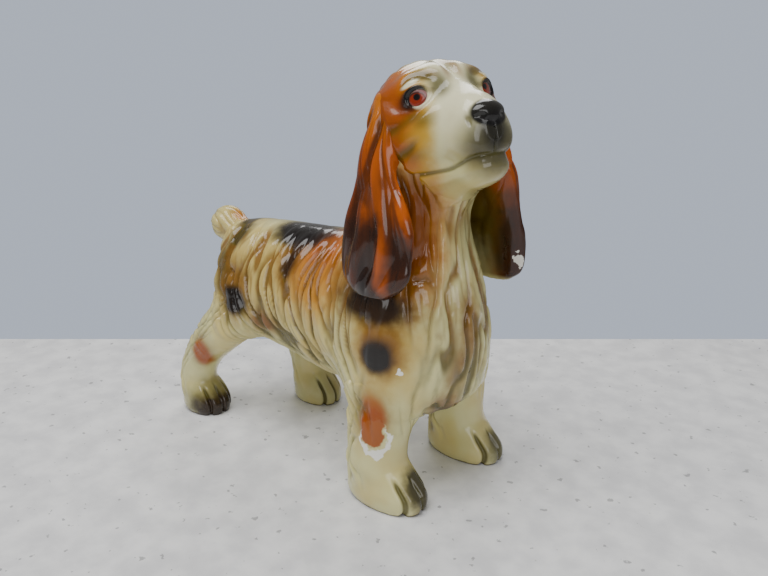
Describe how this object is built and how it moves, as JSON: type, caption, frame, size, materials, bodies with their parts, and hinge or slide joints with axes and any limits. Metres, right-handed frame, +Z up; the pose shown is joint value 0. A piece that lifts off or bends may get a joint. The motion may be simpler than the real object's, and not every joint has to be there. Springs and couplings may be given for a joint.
{
  "type": "dog figurine",
  "caption": "Standing long-eared spaniel figurine in glazed ceramic, head turned and raised, docked tail, slip-cast sections luted together, resting on flat soles.",
  "frame": {"origin": "on the ground, under the middle of the figurine's bounding box", "axes": "+X the way the dog faces, +Y the dog's left, +Z up"},
  "size_m": [0.1852, 0.078, 0.1805],
  "materials": {
    "cream_glaze": "clear gloss glaze over cream slip with airbrushed brown, russet and black patches",
    "russet_glaze": "clear gloss glaze over airbrushed russet and dark brown"
  },
  "bodies": {
    "root": {"torso": "cream_glaze", "head": "cream_glaze", "ear_right": "russet_glaze", "ear_left": "russet_glaze", "foreleg_right": "cream_glaze", "foreleg_left": "cream_glaze", "hindleg_right": "cream_glaze", "hindleg_left": "cream_glaze", "tail": "cream_glaze"}
  },
  "joints": []
}
